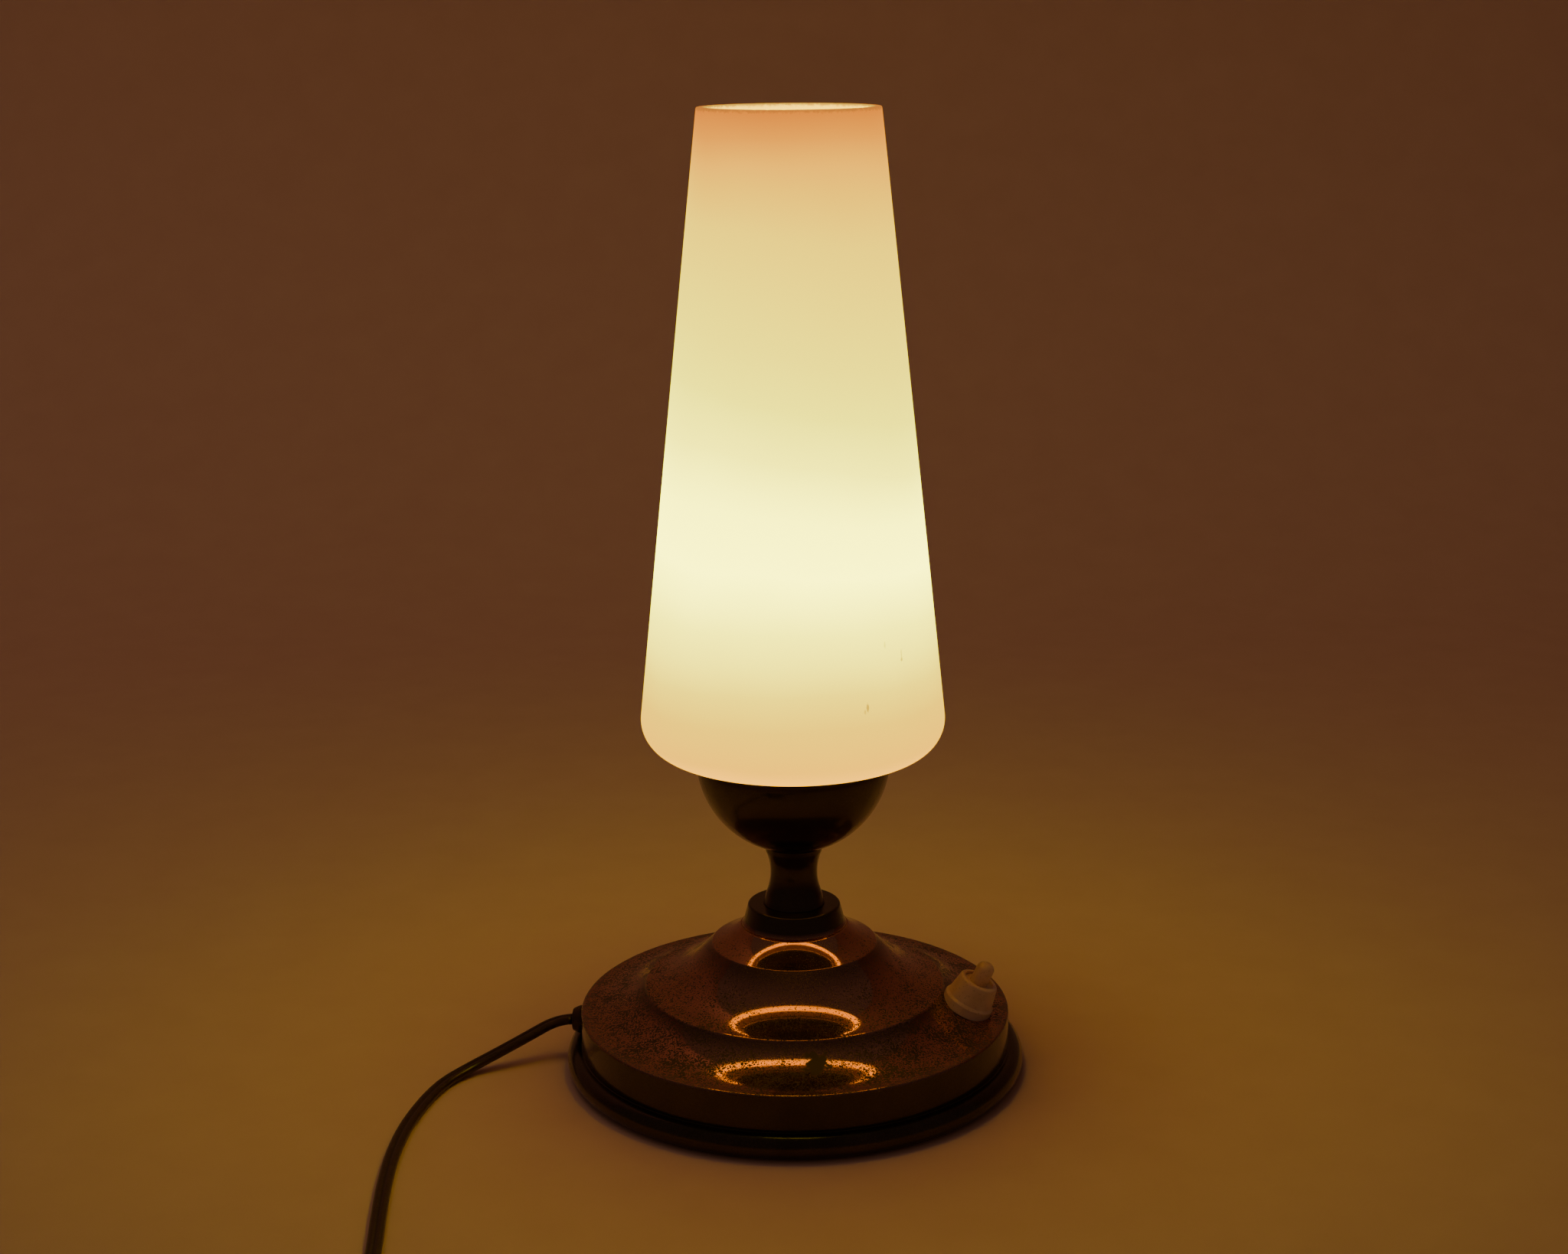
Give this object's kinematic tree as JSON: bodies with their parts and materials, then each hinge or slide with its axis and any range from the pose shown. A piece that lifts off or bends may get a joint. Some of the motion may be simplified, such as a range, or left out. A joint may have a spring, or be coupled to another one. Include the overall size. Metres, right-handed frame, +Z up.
{
  "type": "table lamp",
  "caption": "Small table lamp with a tapering opal glass shade in a ball-shaped metal cup, a waisted neck, a stepped round base, a push switch on the base and a flat flex with a plug.",
  "frame": {"origin": "on the lamp's axis, on the plane that the felt stands on", "axes": "+Z up along the lamp's axis, -Y towards the viewer, +X to the viewer's right"},
  "size_m": [0.2065, 0.3387, 0.32],
  "materials": {
    "patinated_metal": "brown patina, polished, fine pits",
    "opal_glass": "satin opal",
    "pressboard": "pressed fibre",
    "felt": "felted",
    "cast_weight": "as cast",
    "zinc_steel": "zinc plated",
    "holder_plastic": "moulded",
    "ceramic": "glazed",
    "contact_brass": "bright",
    "bulb_glass": "frosted",
    "bulb_cap_metal": "pressed",
    "bulb_black_glass": "vitreous",
    "filament_wire": "drawn",
    "switch_ivory": "moulded, aged",
    "button_ivory": "moulded, handled",
    "cord_brown": "satin",
    "lead_brown": "satin",
    "lead_blue": "satin",
    "tie_paper": "woven"
  },
  "bodies": {
    "lamp": {"base_shell": "patinated_metal", "base_cover": "pressboard", "base_felt": "felt", "base_ballast": "cast_weight", "stem_tube": "zinc_steel", "bottom_nut": "zinc_steel", "bottom_washer": "zinc_steel", "neck": "patinated_metal", "cup": "patinated_metal", "cup_nut": "zinc_steel", "cup_washer": "zinc_steel", "holder_cap": "holder_plastic", "holder_insulator": "ceramic", "holder_sleeve": "holder_plastic", "holder_screw_shell": "contact_brass", "holder_centre_contact": "contact_brass", "holder_terminal_screws": "contact_brass", "switch_housing": "switch_ivory", "switch_collar": "switch_ivory", "switch_base": "holder_plastic", "switch_contacts": "contact_brass", "switch_terminal_screws": "contact_brass", "switch_spring": "zinc_steel", "cord_bush": "cord_brown", "cord_inner": "cord_brown", "live_lead": "lead_brown", "switched_lead": "lead_brown", "neutral_lead": "lead_blue", "cord_free": "cord_brown", "cord_coil": "cord_brown", "coil_tie": "tie_paper", "plug_body": "cord_brown", "plug_pins": "contact_brass"},
    "shade": {"glass_shade": "opal_glass"},
    "ring": {"shade_ring": "holder_plastic"},
    "bulb": {"bulb_glass": "bulb_glass", "bulb_cap": "bulb_cap_metal", "bulb_insulator": "bulb_black_glass", "bulb_contact": "bulb_cap_metal", "bulb_stem": "bulb_glass", "bulb_filament": "filament_wire"},
    "button": {"switch_button": "button_ivory", "switch_bridge": "contact_brass"}
  },
  "joints": [
    {"name": "button_press", "type": "slide", "parent": "lamp", "child": "button", "axis": [-0.4088, 0.078, -0.9093], "range_m": [0, 0.003], "stiffness_N_per_m": 400, "springref_m": -0.003, "deforming": ["switch_spring"]},
    {"name": "shade_lift", "type": "slide", "parent": "lamp", "child": "shade", "axis": [0, 0, 1], "range_m": [0, 0.12]},
    {"name": "ring_lift", "type": "slide", "parent": "shade", "child": "ring", "axis": [0, 0, 1], "range_m": [0, 0.215]},
    {"name": "bulb_lift", "type": "slide", "parent": "ring", "child": "bulb", "axis": [0, 0, 1], "range_m": [0, 0.22]}
  ]
}
